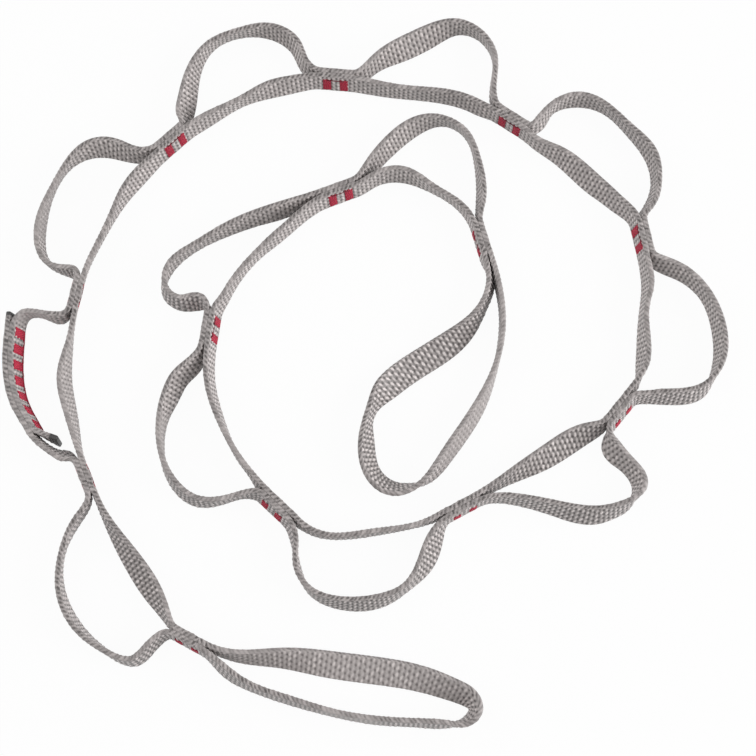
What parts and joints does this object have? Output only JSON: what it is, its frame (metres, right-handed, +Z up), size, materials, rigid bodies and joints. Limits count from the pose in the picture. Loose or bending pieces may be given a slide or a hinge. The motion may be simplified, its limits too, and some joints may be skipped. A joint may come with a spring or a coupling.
{
  "type": "daisy chain",
  "caption": "Climbing chain of one flat webbing strip, sewn face to face into clip-in pockets with a loop at each end, laid in a spiral.",
  "frame": {"origin": "middle of the spiral's box, on the ground that it lies on", "axes": "+Z up, across the webbing's width; +X and +Y lie in the ground, as right and up on the picture"},
  "size_m": [0.305, 0.3041, 0.0121],
  "materials": {
    "webbing": "woven nylon webbing, pale warm grey",
    "thread": "dense zigzag stitching, red"
  },
  "bodies": {
    "outer_loop": {"outer_end_loop": "webbing"},
    "pocket_01": {"pocket_01_inner_strand": "webbing", "pocket_01_outer_strand": "webbing", "tack_01_stitches": "thread"},
    "pocket_02": {"pocket_02_inner_strand": "webbing", "splice_outer_end": "webbing", "splice_inner_end": "webbing", "splice_bar_1": "thread", "splice_bar_2": "thread", "splice_bar_3": "thread", "splice_bar_4": "thread", "splice_bar_5": "thread", "splice_bar_6": "thread", "splice_bar_7": "thread", "tack_02_stitches": "thread"},
    "pocket_03": {"pocket_03_inner_strand": "webbing", "pocket_03_outer_strand": "webbing", "tack_03_stitches": "thread"},
    "pocket_04": {"pocket_04_inner_strand": "webbing", "pocket_04_outer_strand": "webbing", "tack_04_stitches": "thread"},
    "pocket_05": {"pocket_05_inner_strand": "webbing", "pocket_05_outer_strand": "webbing", "tack_05_stitches": "thread"},
    "pocket_06": {"pocket_06_inner_strand": "webbing", "pocket_06_outer_strand": "webbing", "tack_06_stitches": "thread"},
    "pocket_07": {"pocket_07_inner_strand": "webbing", "pocket_07_outer_strand": "webbing", "tack_07_stitches": "thread", "tack_08_stitches": "thread"},
    "pocket_08": {"pocket_08_inner_strand": "webbing", "pocket_08_outer_strand": "webbing", "tack_09_stitches": "thread"},
    "pocket_09": {"pocket_09_inner_strand": "webbing", "pocket_09_outer_strand": "webbing", "tack_10_stitches": "thread"},
    "pocket_10": {"pocket_10_inner_strand": "webbing", "pocket_10_outer_strand": "webbing", "tack_11_stitches": "thread"},
    "pocket_11": {"pocket_11_inner_strand": "webbing", "pocket_11_outer_strand": "webbing", "tack_12_stitches": "thread"},
    "pocket_12": {"pocket_12_inner_strand": "webbing", "pocket_12_outer_strand": "webbing", "tack_13_stitches": "thread"},
    "inner_loop": {"inner_end_loop": "webbing"}
  },
  "joints": [
    {"name": "tack_07_flex", "type": "hinge", "parent": "pocket_07", "child": "pocket_06", "pos_m": [0.11856, 0.05937, 0], "axis": [0, 0, -1], "range_deg": [-1, 10]},
    {"name": "tack_06_flex", "type": "hinge", "parent": "pocket_06", "child": "pocket_05", "pos_m": [0.0591, 0.10941, 0], "axis": [0, 0, -1], "range_deg": [-2, 18]},
    {"name": "tack_05_flex", "type": "hinge", "parent": "pocket_05", "child": "pocket_04", "pos_m": [-0.01907, 0.12571, 0], "axis": [0, 0, -1], "range_deg": [-2, 25]},
    {"name": "tack_04_flex", "type": "hinge", "parent": "pocket_04", "child": "pocket_03", "pos_m": [-0.08822, 0.09173, 0], "axis": [0, 0, -1], "range_deg": [-3, 30]},
    {"name": "tack_03_flex", "type": "hinge", "parent": "pocket_03", "child": "pocket_02", "pos_m": [-0.1238, 0.02114, 0], "axis": [0, 0, -1], "range_deg": [-3, 30]},
    {"name": "tack_02_flex", "type": "hinge", "parent": "pocket_02", "child": "pocket_01", "pos_m": [-0.11237, -0.05694, 0], "axis": [0, 0, -1], "range_deg": [-4, 30]},
    {"name": "tack_01_flex", "type": "hinge", "parent": "pocket_01", "child": "outer_loop", "pos_m": [-0.06392, -0.12029, 0], "axis": [0, 0, -1], "range_deg": [-8, 30]},
    {"name": "tack_08_flex", "type": "hinge", "parent": "pocket_07", "child": "pocket_08", "pos_m": [0.1029, -0.02836, 0], "axis": [0, 0, 1], "range_deg": [-2, 6]},
    {"name": "tack_09_flex", "type": "hinge", "parent": "pocket_08", "child": "pocket_09", "pos_m": [0.03522, -0.06629, 0], "axis": [0, 0, 1], "range_deg": [-3, 6]},
    {"name": "tack_10_flex", "type": "hinge", "parent": "pocket_09", "child": "pocket_10", "pos_m": [-0.04122, -0.05773, 0], "axis": [0, 0, 1], "range_deg": [-4, 8]},
    {"name": "tack_11_flex", "type": "hinge", "parent": "pocket_10", "child": "pocket_11", "pos_m": [-0.06363, 0.01943, 0], "axis": [0, 0, 1], "range_deg": [-5, 5]},
    {"name": "tack_12_flex", "type": "hinge", "parent": "pocket_11", "child": "pocket_12", "pos_m": [-0.00386, 0.07551, 0], "axis": [0, 0, 1], "range_deg": [-6, 6]},
    {"name": "tack_13_flex", "type": "hinge", "parent": "pocket_12", "child": "inner_loop", "pos_m": [0.05283, 0.04477, 0], "axis": [0, 0, 1], "range_deg": [-20, 4]}
  ]
}
